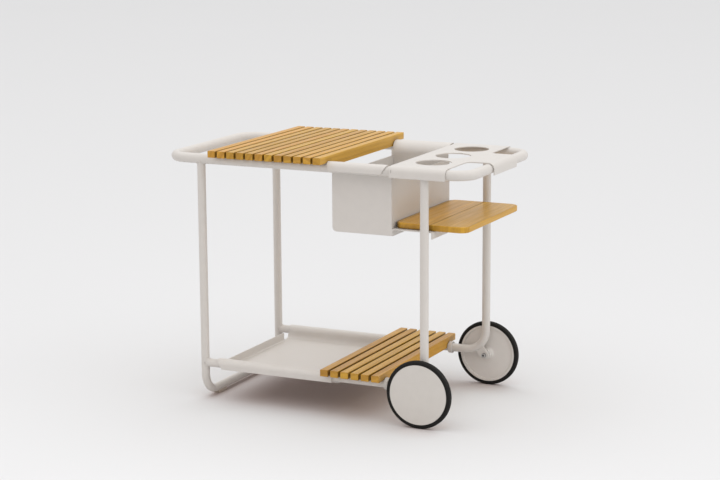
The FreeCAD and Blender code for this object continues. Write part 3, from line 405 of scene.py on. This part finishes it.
def tyre_rubber():
    """Black rubber, dusty where it rolls."""
    material, graph, shader = new_finish(
        "tyre_rubber_finish", IOR=1.5, Specular_IOR_Level=0.15)
    colour = SLOT_COLOURS["tyre_rubber"]
    place = graph.place()
    radius = graph.from_axle(place)
    rolling = graph.span(radius, low=WHEEL_RADIUS - ROLLING_DEPTH, high=WHEEL_RADIUS)
    grit = graph.noise(place, scale=900.0, detail=4.0)
    patches = graph.span(graph.noise(place, scale=60.0, detail=3.0), *TREAD_PATCHES)
    film = graph.maths("MULTIPLY", rolling, patches)
    shade = graph.tint(grit, rgba(colour, level=0.25), rgba(colour, level=0.55))
    shade = graph.lay_on(shade, film, share=0.35, colour=TREAD_DUST_COLOUR)
    gloss = graph.between(patches, low=0.5, high=0.72)
    edges = graph.effect(SOFT_EDGES, Reach=0.0005)
    join(graph, shader, Base_Color=shade, Roughness=gloss,
         Normal=graph.bump(grit, RUBBER_BUMP, edges["Normal"]))
    return material


PLASTIC_MOTTLE = (0.3, 0.7)
PLASTIC_BUMP = 0.00005


def moulded_plastic(slot, rough):
    """Moulded plastic with a fine eroded surface, dusty low down."""
    material, graph, shader = new_finish(slot + "_finish", IOR=1.5)
    colour = SLOT_COLOURS[slot]
    place = graph.place()
    grit = graph.noise(place, scale=1800.0, detail=3.0)
    slow = graph.span(graph.noise(place, scale=80.0), *PLASTIC_MOTTLE)
    dust = graph.effect(SETTLED_DUST, Vector=place, Top=0.02)
    edges = graph.effect(SOFT_EDGES, Reach=0.0006)
    shade = graph.tint(slow, rgba(colour, level=0.93), rgba(colour, level=1.05))
    shade = graph.lay_on(shade, dust["Dust"], share=0.5, colour=rgba(colour, level=0.5))
    gloss = graph.between(grit, low=rough - 0.08, high=rough + 0.08)
    join(graph, shader, Base_Color=shade, Roughness=gloss,
         Normal=graph.bump(grit, PLASTIC_BUMP, edges["Normal"]))
    return material


SOCKET_RADIUS = 0.0036
HEAD_RADIUS = 0.0066
# Where the socket's painted shade begins, and where the rim's does, as shares of their radii.
SOCKET_SHADE_START = 0.9
RIM_SHADE_START = 0.97
STEEL_BLOTCH = (0.35, 0.65)
SCRATCH_SQUEEZE = 12.0
STEEL_BUMP = 0.00003


def fastener_steel(on_axle=False):
    """Zinc-plated steel with painted highlights on its edges; on an axle bolt, painted shade
    darkens the socket and the rim.
    """
    name, metal = ("axle_bolt_finish", 0.35) if on_axle else ("fastener_steel_finish", 1.0)
    material, graph, shader = new_finish(name, Metallic=metal)
    colour = SLOT_COLOURS["fastener_steel"]
    place = graph.place()
    blotch = graph.span(graph.noise(place, scale=260.0, detail=4.0), *STEEL_BLOTCH)
    scratch = graph.noise(graph.along_y(place, SCRATCH_SQUEEZE), scale=700.0)
    edges = graph.effect(SOFT_EDGES, Reach=0.0004)
    shade = graph.tint(blotch, rgba(colour, level=0.82), rgba(colour, level=1.05))
    # Painted highlight: the edges are made brighter, as where they catch the light.
    shade = graph.lay_on(shade, edges["Edge"], share=0.5, colour=rgba(colour, level=1.3))
    if on_axle:
        # Painted shade: the socket and the rim of the head are darkened, standing in for the shade
        # in the recess and in the gap round the head.
        radius = graph.from_axle(place)
        socket = graph.span(radius, low=SOCKET_RADIUS, high=SOCKET_RADIUS * SOCKET_SHADE_START)
        rim = graph.span(radius, low=HEAD_RADIUS * RIM_SHADE_START, high=HEAD_RADIUS)
        shade = graph.lay_on(shade, rim, share=0.75, colour=rgba(colour, level=0.2))
        shade = graph.tint(socket, shade, rgba(colour, level=0.05))
    gloss = graph.span(scratch, low=0.2, high=0.8, start=0.26, end=0.44)
    join(graph, shader, Base_Color=shade, Roughness=gloss,
         Normal=graph.bump(scratch, STEEL_BUMP, edges["Normal"]))
    return material


FINISHES = {
    "powder_coat": baked_coat("powder_coat", peel=0.0016, rough=0.42),
    "wheel_disc_coat": baked_coat("wheel_disc_coat", peel=0.0012, rough=0.5, tones=DISC_TONE),
    "wheel_cover_coat": baked_coat("wheel_cover_coat", peel=0.0014, rough=0.46, tones=COVER_TONE),
    "slat_wood": oiled_wood("slat_wood", ring=0.0034, late_level=0.7, sheen=0.38),
    "board_wood": oiled_wood("board_wood", ring=0.0042, late_level=0.78, sheen=0.34),
    "tyre_rubber": tyre_rubber(),
    "bush_nylon": moulded_plastic("bush_nylon", rough=0.5),
    "glide_plastic": moulded_plastic("glide_plastic", rough=0.55),
    "fastener_steel": fastener_steel(),
}
BATTEN_FINISH = oiled_wood("slat_wood", ring=0.0034, late_level=0.74, sheen=0.5, along_x=True)
BOLT_FINISH = fastener_steel(on_axle=True)


def dress_frame():
    """Gives every carried-over node the finish of its material slot."""
    for name, node in frame["nodes"].items():
        slot = node.material_slots[0]
        slot.material = FINISHES[slot.material.name]
        if "batten" in name:
            slot.material = BATTEN_FINISH
        if "axle_bolt" in name:
            slot.material = BOLT_FINISH


# ---------------------------------------------------------------- how pieces are made

SHARP_ANGLE = math.radians(38)


def new_piece(name, mesh, body, slot):
    """A piece with a finish, smooth apart from its sharp edges, riding on its body."""
    data = bpy.data.meshes.new(name)
    bmesh.ops.recalc_face_normals(mesh, faces=mesh.faces)
    mesh.to_mesh(data)
    mesh.free()
    data.polygons.foreach_set("use_smooth", [True] * len(data.polygons))
    data.set_sharp_from_angle(angle=SHARP_ANGLE)
    data.materials.append(FINISHES[slot])
    piece = bpy.data.objects.new(name, data)
    bpy.context.scene.collection.objects.link(piece)
    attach(piece, body)
    return piece


def skin_rings(rings, closed):
    """A skin between neighbouring rings of points; an open run gets a cap at each end."""
    mesh = bmesh.new()
    points = [[mesh.verts.new(point) for point in ring] for ring in rings]
    count = len(points[0])
    last = len(points) if closed else len(points) - 1
    for i in range(last):
        here, after = points[i], points[(i + 1) % len(points)]
        for j in range(count):
            mesh.faces.new((here[j], here[(j + 1) % count], after[(j + 1) % count], after[j]))
    if not closed:
        mesh.faces.new(points[0])
        mesh.faces.new(points[-1])
    return mesh


def full_turn(steps):
    """Angles once round, in equal steps, without the last."""
    return [math.tau * i / steps for i in range(steps)]


def quarter_turn(steps):
    """Angles from nought to a right angle, in equal steps."""
    return [math.pi / 2 * i / steps for i in range(steps + 1)]


# ---------------------------------------------------------------- welds

BEAD_RADIUS = 0.0022
BEAD_SIDES = 10
BEAD_RIPPLE = 0.0003
RIPPLE_STEPS = 3
NEARLY_UPRIGHT = 0.9
LEVEL_WAY = Vector((0.0, 1.0, 0.0))
UP = Vector((0.0, 0.0, 1.0))


def weld_bead(name, path, closed=True):
    """A weld bead under the paint: a round section with fine ripples, carried along a path."""
    count = len(path)
    rings = []
    for i, centre in enumerate(path):
        before = path[i - 1] if closed or i else centre
        after = path[(i + 1) % count] if closed or i < count - 1 else centre
        along = (after - before).normalized()
        side = along.cross(UP if abs(along.z) < NEARLY_UPRIGHT else LEVEL_WAY)
        side.normalize()
        rise = side.cross(along)
        radius = BEAD_RADIUS + BEAD_RIPPLE * math.sin(i * math.tau / RIPPLE_STEPS)
        rings.append([centre + radius * (math.cos(turn) * side + math.sin(turn) * rise)
                      for turn in full_turn(BEAD_SIDES)])
    new_piece(name, skin_rings(rings, closed), "frame", "powder_coat")


SADDLE_POINTS = 96
# The rail's weld lies this many leg radii from the leg's middle line.
SADDLE_REACH = 1.04


def ring_saddle(leg_x, rail_y):
    """The line where a leg meets the underside of the ring's long side."""
    path = []
    for turn in full_turn(SADDLE_POINTS):
        off = LEG_RADIUS * math.sin(turn)
        drop = math.sqrt(RING_RADIUS ** 2 - off ** 2)
        path.append(Vector((leg_x + LEG_RADIUS * math.cos(turn), rail_y + off, RING_HEIGHT - drop)))
    return path


def rail_saddle(rail_y):
    """The line where a lower rail meets the left leg; the legs are equal tubes."""
    reach = LEG_RADIUS * SADDLE_REACH
    path = []
    for turn in full_turn(SADDLE_POINTS):
        off = LEG_RADIUS * math.sin(turn)
        out = math.sqrt(reach ** 2 - off ** 2)
        height = RAIL_HEIGHT + LEG_RADIUS * math.cos(turn)
        path.append(Vector((LEG_LEFT + out, rail_y + off, height)))
    return path


# The radius of the bend from a right leg into its lower rail, along the tube's middle.
RAIL_BEND = 0.065
SEAM_STEPS = 24


def bracket_seams(side_name, side):
    """The two lines where a wheel bracket meets the outside of its leg's bend."""
    low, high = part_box("wheel_bracket_" + side_name)
    centre_x = LEG_RIGHT - RAIL_BEND
    centre_z = RAIL_HEIGHT + RAIL_BEND
    toward = math.atan2(WHEEL_RADIUS - centre_z, AXLE_PLACE - centre_x)
    half = math.asin((high.x - AXLE_PLACE) / (RAIL_BEND + LEG_RADIUS))
    turns = [toward + half * (2 * i / SEAM_STEPS - 1) for i in range(SEAM_STEPS + 1)]
    seams = []
    for face in (low.y, high.y):
        off = face - side * RAIL_OFFSET
        radius = RAIL_BEND + math.sqrt(max(LEG_RADIUS ** 2 - off ** 2, 0.0))
        seams.append([Vector((centre_x + radius * math.cos(turn), face,
                              centre_z + radius * math.sin(turn))) for turn in turns])
    return seams


def welds():
    """Every weld that shows on the frame."""
    for side_name, side in SIDES:
        rail_y = side * RAIL_OFFSET
        weld_bead("weld_left_leg_" + side_name, ring_saddle(LEG_LEFT, rail_y))
        weld_bead("weld_right_leg_" + side_name, ring_saddle(LEG_RIGHT, rail_y))
        weld_bead("weld_rail_" + side_name, rail_saddle(rail_y))
        for number, seam in enumerate(bracket_seams(side_name, side), start=1):
            weld_bead("weld_bracket_%s_%d" % (side_name, number), seam, closed=False)


# ---------------------------------------------------------------- tyres

TREAD_GROOVES = 7
GROOVE_DEPTH = 0.0007
GROOVE_SHARE = 0.36
GROOVE_FLOOR = 0.6
TYRE_STEPS = 180
CROWN_ROUND = 0.006
CROWN_STEPS = 7
# The grooved band stops this share of the crown's rounding short of the side walls.
TREAD_MARGIN = 0.6
COVER_CLEARANCE = 0.0002


def tyre_outline(inner, outer, rim):
    """The tyre's section as (place along the axle, radius) points: walls, crown and grooves."""
    points = []
    for wall, way in ((inner, 1), (outer, -1)):
        for turn in quarter_turn(CROWN_STEPS)[:-1]:
            points.append((wall + way * CROWN_ROUND * (1 - math.cos(turn)),
                           WHEEL_RADIUS - CROWN_ROUND * (1 - math.sin(turn))))
    start, end = inner + CROWN_ROUND * TREAD_MARGIN, outer - CROWN_ROUND * TREAD_MARGIN
    pitch = (end - start) / TREAD_GROOVES
    for i in range(TREAD_GROOVES):
        middle = start + pitch * (i + 0.5)
        half = pitch * GROOVE_SHARE / 2
        off = min(middle - inner, outer - middle)
        sag = CROWN_ROUND - math.sqrt(CROWN_ROUND ** 2 - max(CROWN_ROUND - off, 0.0) ** 2)
        top = WHEEL_RADIUS - sag
        points += [(middle - half, top), (middle - half * GROOVE_FLOOR, top - GROOVE_DEPTH),
                   (middle + half * GROOVE_FLOOR, top - GROOVE_DEPTH), (middle + half, top)]
    return [(inner, rim)] + sorted(points) + [(outer, rim)]


def ribbed_tyre(side_name, side):
    """The rubber band with fine ribs round its tread."""
    low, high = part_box("tyre_" + side_name)
    inner, outer = sorted((abs(low.y), abs(high.y)))
    outline = tyre_outline(inner, outer, COVER_RADIUS + COVER_CLEARANCE)
    rings = [[Vector((AXLE_PLACE + radius * math.cos(turn), side * along,
                      WHEEL_RADIUS + radius * math.sin(turn))) for along, radius in outline]
             for turn in full_turn(TYRE_STEPS)]
    mesh = skin_rings(rings, closed=True)
    piece = new_piece("tyre_ribbed_" + side_name, mesh, "wheel_" + side_name, "tyre_rubber")
    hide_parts("tyre_" + side_name)


# ---------------------------------------------------------------- cutting board

BOARD_CORNER = 0.028
BOARD_EDGE = 0.003
SEAM_OPEN = 0.0008
SEAM_DEPTH = 0.005
BOARD_CORNER_STEPS = 14
BOARD_EDGE_STEPS = 5
FLAT_MARGIN = 0.0006


def plank_plan(outer, seam, reach, tongue_reach):
    """The plank's plan: points with the way out of the board and the way away from the seam."""
    way = 1 if outer > seam else -1
    halves = []
    for end in (-1, 1):
        middle = Vector((outer - way * BOARD_CORNER, end * (reach - BOARD_CORNER), 0.0))
        half = [(Vector((seam, end * tongue_reach, 0.0)), Vector(), way),
                (Vector((seam, end * reach, 0.0)), Vector((0.0, end, 0.0)), way)]
        for turn in quarter_turn(BOARD_CORNER_STEPS):
            out = Vector((way * math.sin(turn), end * math.cos(turn), 0.0))
            half.append((middle + BOARD_CORNER * out, out, 0))
        halves.append(half)
    return halves[0] + halves[1][::-1]


def plank_levels(low, high, tongue_low, tongue_high):
    """Heights up the plank, each with how far its outside and its seam side are cut back."""
    edge = [(0.0, BOARD_EDGE + FLAT_MARGIN, SEAM_OPEN + FLAT_MARGIN)]
    for turn in quarter_turn(BOARD_EDGE_STEPS):
        rise = BOARD_EDGE * (1 - math.cos(turn))
        cut = BOARD_EDGE * (1 - math.sin(turn))
        edge.append((rise, cut, SEAM_OPEN * (1 - rise / SEAM_DEPTH)))
    lower = [(low + rise, cut, opening) for rise, cut, opening in edge]
    upper = [(high - rise, cut, opening) for rise, cut, opening in reversed(edge)]
    return lower + [(tongue_low, 0.0, 0.0), (tongue_high, 0.0, 0.0)] + upper


def board_plank(side_name):
    """A plank of the cutting board: soft edges, and a seam edge grooved for the tongue."""
    low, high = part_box("board_plank_" + side_name)
    tongue_low, tongue_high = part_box("board_tongue")
    outer, seam = (low.x, high.x) if side_name == "left" else (high.x, low.x)
    plan = plank_plan(outer, seam, high.y, tongue_high.y)
    rings = [[Vector((place.x - out.x * cut + way * opening, place.y - out.y * cut, height))
              for place, out, way in plan]
             for height, cut, opening in plank_levels(low.z, high.z, tongue_low.z, tongue_high.z)]
    mesh = skin_rings(rings, closed=False)
    middle = Vector((seam, 0.0, (tongue_low.z + tongue_high.z) / 2))
    seat = min(mesh.faces, key=lambda face: (face.calc_center_median() - middle).length)
    groove = bmesh.ops.extrude_face_region(mesh, geom=[seat])["geom"]
    depth = tongue_low.x - seam if side_name == "left" else tongue_high.x - seam
    bmesh.ops.translate(mesh, vec=(depth, 0.0, 0.0),
                        verts=[part for part in groove if isinstance(part, bmesh.types.BMVert)])
    piece = new_piece("cheese_board_" + side_name, mesh, "board", "board_wood")
    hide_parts("board_plank_" + side_name)


# ---------------------------------------------------------------- studio

# The camera fitted to the trolley's edges in the photograph. Angles are in radians.
FOCAL_PX = 1971.603
PHOTO_WIDTH_PX = 720
SENSOR_MM = 36.0
CAMERA_PLACE = Vector((2.5519, -5.2636, 1.6277))
CAMERA_YAW = 0.446533
CAMERA_PITCH = 0.194285
CAMERA_ROLL = -0.006006


def photo_camera():
    """The camera that took the photograph, as fitted to the trolley's edges."""
    forward = Vector((-math.sin(CAMERA_YAW) * math.cos(CAMERA_PITCH),
                      math.cos(CAMERA_YAW) * math.cos(CAMERA_PITCH), -math.sin(CAMERA_PITCH)))
    level = Vector((math.cos(CAMERA_YAW), math.sin(CAMERA_YAW), 0.0))
    upright = level.cross(forward)
    right = math.cos(CAMERA_ROLL) * level + math.sin(CAMERA_ROLL) * upright
    up = math.cos(CAMERA_ROLL) * upright - math.sin(CAMERA_ROLL) * level
    data = bpy.data.cameras.new("photo_camera")
    data.sensor_width = SENSOR_MM
    data.lens = FOCAL_PX / PHOTO_WIDTH_PX * SENSOR_MM
    camera = bpy.data.objects.new("photo_camera", data)
    turn = Matrix((right, up, -forward)).transposed().to_4x4()
    camera.matrix_world = Matrix.Translation(CAMERA_PLACE) @ turn
    bpy.context.scene.collection.objects.link(camera)
    bpy.context.scene.camera = camera


FLOOR_REACH = 60.0
FLOOR_SIDES = 96
FLOOR_COLOUR = (0.825, 0.833, 0.841)
# Painted shade: the floor's colour is palest at FLOOR_MIDDLE and darkens, fast at first, out to
# FLOOR_FAR, standing in for the light falling off.
FLOOR_MIDDLE = (0.6, -1.5, 0.0)
FLOOR_FADE = 0.3
FLOOR_FAR = 20.0
FLOOR_FAR_SHADE_LEVEL = 0.735
HAZE_SHARE = 0.04
HAZE_LEVEL = 0.9
# A painted shadow on the floor: its warm dark colour and its share, laid where the trolley closes
# the floor in.
PAINTED_SHADOW_COLOUR = (0.5, 0.36, 0.32, 1.0)
PAINTED_SHADOW_SHARE = 0.62
BACKDROP_COLOUR = (0.8, 0.8, 0.81)
SKY_COLOUR = (0.665, 0.612, 0.59)
# Each soft box: its strength, its width and how high it hangs in degrees, its turn from
# the near side round to the wheels, also in degrees, and its colour.
SOFT_BOXES = {
    "overhead_box": (1.75, 110, 90, 0, (0.91, 0.97, 1.0)),
    "right_box": (0.6, 60, 15, 90, (0.96, 1.0, 1.0)),
}


def floor_finish():
    """A pale matt floor with painted shade that darkens it further off, and a painted shadow where
    the trolley closes it in.
    """
    material, graph, shader = new_finish(
        "studio_floor_finish", Roughness=0.9, Specular_IOR_Level=0.1)
    place = graph.place()
    away = graph.measure("DISTANCE", place, FLOOR_MIDDLE)
    away = graph.maths("MULTIPLY_ADD", away, 1 / FLOOR_FADE, 1.0)
    away = graph.maths("LOGARITHM", away, 1 + FLOOR_FAR / FLOOR_FADE)
    haze = graph.noise(place, scale=0.6)
    # Painted shade: the floor darkens with distance from FLOOR_MIDDLE.
    shade = graph.tint(away, rgba(FLOOR_COLOUR), rgba(FLOOR_COLOUR, FLOOR_FAR_SHADE_LEVEL))
    shade = graph.lay_on(shade, haze, HAZE_SHARE, rgba(FLOOR_COLOUR, HAZE_LEVEL))
    # Painted shadow: a warm dark tint laid on the floor where the trolley closes it in.
    gap = graph.effect(GAP_SHADE, Reach=0.17)["Gap"]
    shade = graph.lay_on(shade, gap, PAINTED_SHADOW_SHARE, PAINTED_SHADOW_COLOUR)
    join(graph, shader, Base_Color=shade)
    return material


def studio_floor():
    """The wide round floor that the trolley stands on."""
    mesh = bmesh.new()
    bmesh.ops.create_circle(mesh, cap_ends=True, segments=FLOOR_SIDES, radius=FLOOR_REACH)
    data = bpy.data.meshes.new("studio_floor")
    mesh.to_mesh(data)
    mesh.free()
    data.materials.append(floor_finish())
    floor = bpy.data.objects.new("studio_floor", data)
    bpy.context.scene.collection.objects.link(floor)


def studio_surround():
    """A warm surround that lights the trolley, and looks like a plain pale backdrop."""
    world = bpy.data.worlds.new("studio_surround")
    world.use_nodes = True
    graph = Graph(world.node_tree)
    surround = world.node_tree.nodes["Background"]
    path = graph.node("ShaderNodeLightPath").outputs
    seen = graph.maths("MAXIMUM", path["Is Camera Ray"], path["Is Glossy Ray"])
    seen = graph.maths("MAXIMUM", seen, path["Is Transmission Ray"])
    colour = graph.tint(seen, rgba(SKY_COLOUR), rgba(BACKDROP_COLOUR))
    world.node_tree.links.new(colour, surround.inputs["Color"])
    bpy.context.scene.world = world


def soft_boxes():
    """The soft boxes round the trolley."""
    for name, (strength, width, height, turn, colour) in SOFT_BOXES.items():
        data = bpy.data.lights.new(name, "SUN")
        data.energy = strength
        data.angle = math.radians(width)
        data.color = colour
        lamp = bpy.data.objects.new(name, data)
        lamp.rotation_euler = (math.radians(90 - height), 0.0, math.radians(turn))
        bpy.context.scene.collection.objects.link(lamp)


# ---------------------------------------------------------------- the whole picture

dress_frame()
welds()
for wheel_name, wheel_side in SIDES:
    ribbed_tyre(wheel_name, wheel_side)
for board_side in ("left", "right"):
    board_plank(board_side)
photo_camera()
studio_floor()
studio_surround()
soft_boxes()
bpy.context.scene.view_settings.view_transform = "Standard"
